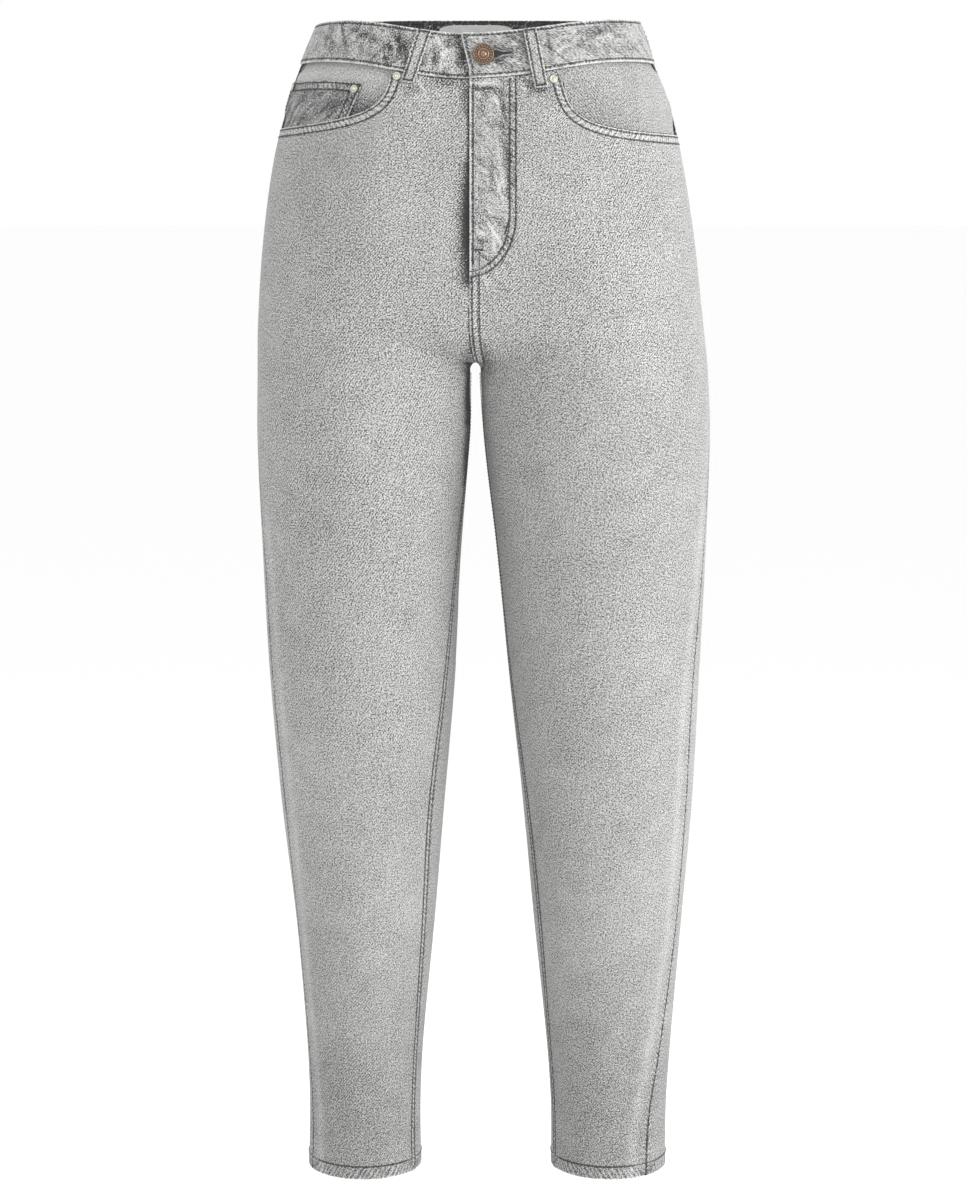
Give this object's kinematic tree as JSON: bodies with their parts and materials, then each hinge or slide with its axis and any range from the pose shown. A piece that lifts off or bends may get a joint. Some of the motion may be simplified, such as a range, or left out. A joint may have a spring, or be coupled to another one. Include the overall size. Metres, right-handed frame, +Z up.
{
  "type": "mom jeans",
  "caption": "High-rise jeans with tapered legs, filled out and hollow, with scooped front pockets, a coin pocket, a stitched fly, back yokes and patch pockets.",
  "frame": {"origin": "centre of the waist opening, about level with the waistband's top edge at the side seams", "axes": "+Z up out of the waist opening, +Y towards the back of the garment, +X towards the wearer's left"},
  "size_m": [0.3835, 0.2542, 0.9924],
  "materials": {
    "denim": "stonewashed light grey denim twill, paler on folded edges and darker beside the seams",
    "label_cloth": "plain pale grey woven label",
    "button_metal": "antique copper plate, satin",
    "rivet_metal": "pale worn brass, satin"
  },
  "bodies": {
    "root": {"front_right": "denim", "front_left": "denim", "back_right": "denim", "back_left": "denim", "yoke_right": "denim", "yoke_left": "denim", "pocket_bearer_right": "denim", "pocket_bearer_left": "denim", "coin_pocket": "denim", "fly": "denim", "waistband": "denim", "back_pocket_right": "denim", "back_pocket_left": "denim", "waist_label": "label_cloth", "loop_front_right": "denim", "loop_front_left": "denim", "loop_side_right": "denim", "loop_side_left": "denim", "loop_back": "denim", "button": "button_metal", "rivet_pocket_right": "rivet_metal", "rivet_pocket_left": "rivet_metal", "rivet_coin_outer": "rivet_metal", "rivet_coin_inner": "rivet_metal"}
  },
  "joints": []
}
